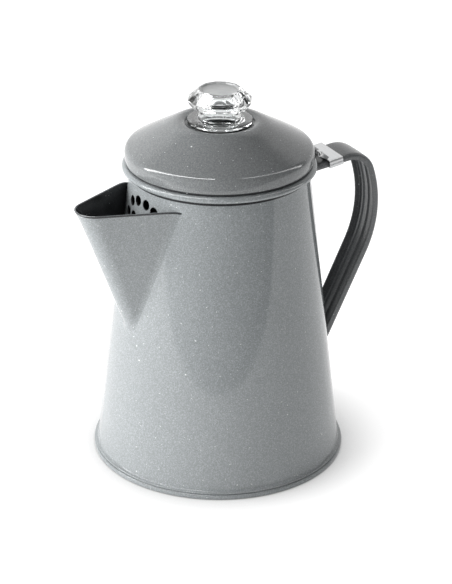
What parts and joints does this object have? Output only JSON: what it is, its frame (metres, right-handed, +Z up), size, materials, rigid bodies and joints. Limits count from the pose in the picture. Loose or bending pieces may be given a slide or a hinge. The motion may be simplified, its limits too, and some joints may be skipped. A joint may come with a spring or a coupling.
{
  "type": "coffee percolator",
  "caption": "Enamelled stovetop coffee percolator with hinged lid, glass knob, open spout, strap handle and a removable pump and basket insert.",
  "frame": {"origin": "centre of the pot's flat bottom, on the surface it stands on", "axes": "+Z up along the pot's axis, +X towards the handle, +Y to the left of someone who looks along +X"},
  "size_m": [0.2072, 0.159, 0.2384],
  "materials": {
    "body_enamel": "glossy grey vitreous enamel on steel, with fine pale specks",
    "handle_enamel": "glossy darker grey vitreous enamel on steel",
    "lid_enamel": "glossy grey vitreous enamel on steel, with fine pale specks",
    "satin_steel": "satin stainless steel",
    "bright_steel": "bright drawn steel",
    "seal_rubber": "matt black rubber",
    "clear_glass": "clear pressed glass, polished",
    "aluminium": "plain spun aluminium"
  },
  "bodies": {
    "pot": {"pot_body": "body_enamel", "pot_base": "body_enamel", "spout": "body_enamel", "handle_strap": "handle_enamel", "hinge_clip": "satin_steel", "hinge_pin": "bright_steel"},
    "lid": {"lid_dome": "lid_enamel", "lid_skirt": "lid_enamel", "lid_hinge_leaf": "satin_steel", "lid_rivet_left": "bright_steel", "lid_rivet_right": "bright_steel", "knob_gasket": "seal_rubber"},
    "knob": {"glass_knob": "clear_glass"},
    "pump": {"pump_tube": "aluminium", "pump_foot": "aluminium", "basket_seat": "aluminium"},
    "valve": {"valve_disc": "bright_steel"},
    "basket": {"brew_basket": "aluminium", "basket_sleeve": "aluminium"},
    "spreader": {"basket_spreader": "aluminium"}
  },
  "joints": [
    {"name": "lid_hinge", "type": "hinge", "parent": "pot", "child": "lid", "pos_m": [0.066, 0, 0.1875], "axis": [0, 1, 0], "range_deg": [0, 110]},
    {"name": "knob_twist", "type": "hinge", "parent": "lid", "child": "knob", "pos_m": [0, 0, 0.218], "axis": [0, 0, 1], "range_deg": [0, 90]},
    {"name": "pump_lift", "type": "slide", "parent": "pot", "child": "pump", "axis": [0, 0, 1], "range_m": [0, 0.004]},
    {"name": "valve_lift", "type": "slide", "parent": "pump", "child": "valve", "axis": [0, 0, 1], "range_m": [0, 0.003]},
    {"name": "basket_lift", "type": "slide", "parent": "pump", "child": "basket", "axis": [0, 0, 1], "range_m": [0, 0.024]},
    {"name": "spreader_lift", "type": "slide", "parent": "basket", "child": "spreader", "axis": [0, 0, 1], "range_m": [0, 0.006]}
  ]
}
